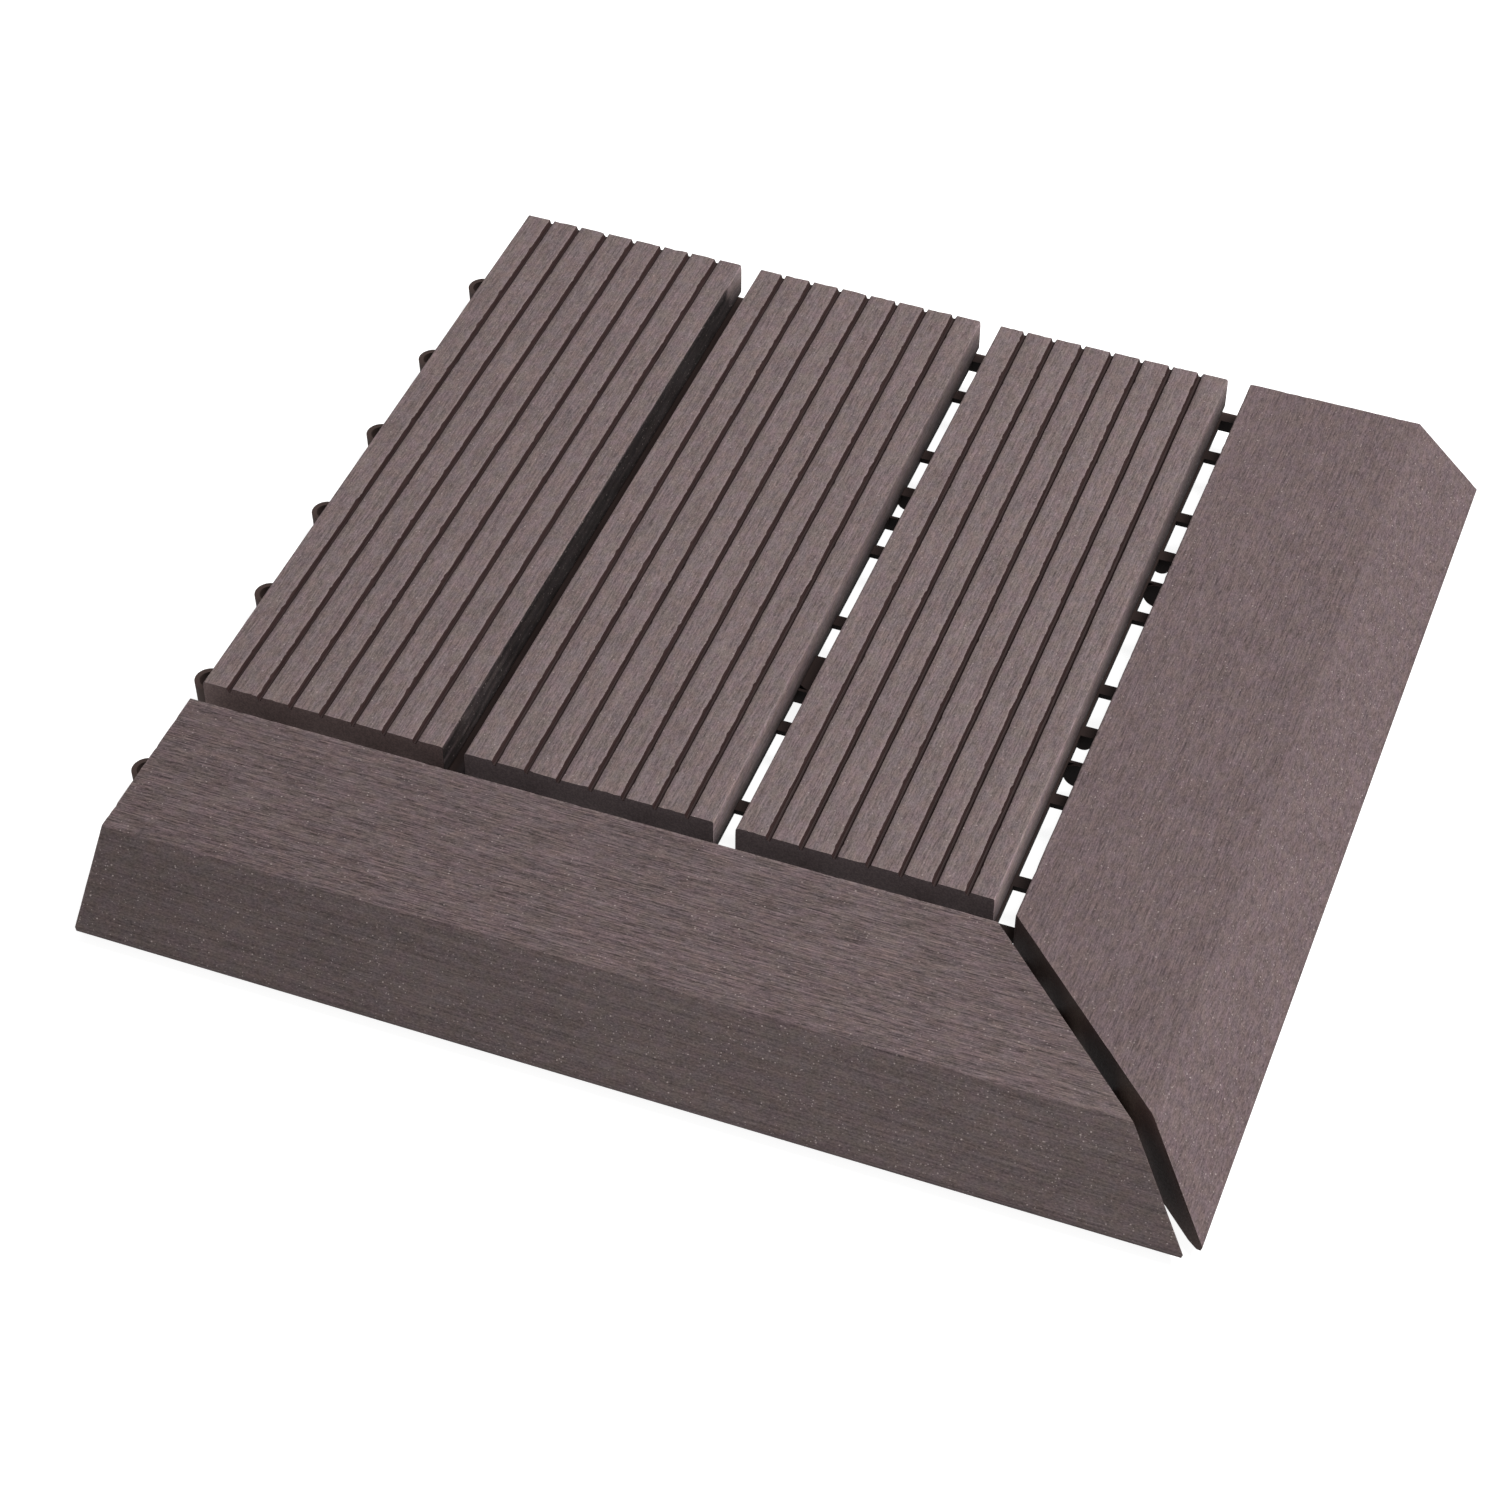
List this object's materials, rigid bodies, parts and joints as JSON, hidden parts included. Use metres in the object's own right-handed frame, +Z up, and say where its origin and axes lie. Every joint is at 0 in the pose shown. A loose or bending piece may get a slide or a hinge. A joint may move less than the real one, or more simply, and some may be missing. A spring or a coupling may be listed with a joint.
{
  "type": "interlocking deck tile",
  "caption": "Square corner deck tile of grooved composite slats and two bevelled, mitred edge boards screwed to a moulded lattice base with connector loops.",
  "frame": {"origin": "centre of the tile's outline, loops included, on the floor it stands on", "axes": "+Z up out of the walking surface; +X to the right, towards the bevelled right edge board; +Y along the slats, away from the bevelled front edge board"},
  "size_m": [0.3114, 0.3113, 0.0235],
  "materials": {
    "composite": "matt, finely brushed grey-brown wood-plastic composite",
    "base_plastic": "moulded black polypropylene, low sheen",
    "steel": "zinc-plated steel"
  },
  "bodies": {
    "root": {"base_grid": "base_plastic", "left_slat": "composite", "middle_slat": "composite", "right_slat": "composite", "front_edge_board": "composite", "right_edge_board": "composite", "left_slat_screws": "steel", "middle_slat_screws": "steel", "right_slat_screws": "steel", "front_board_screws": "steel", "right_board_screws": "steel"}
  },
  "joints": []
}
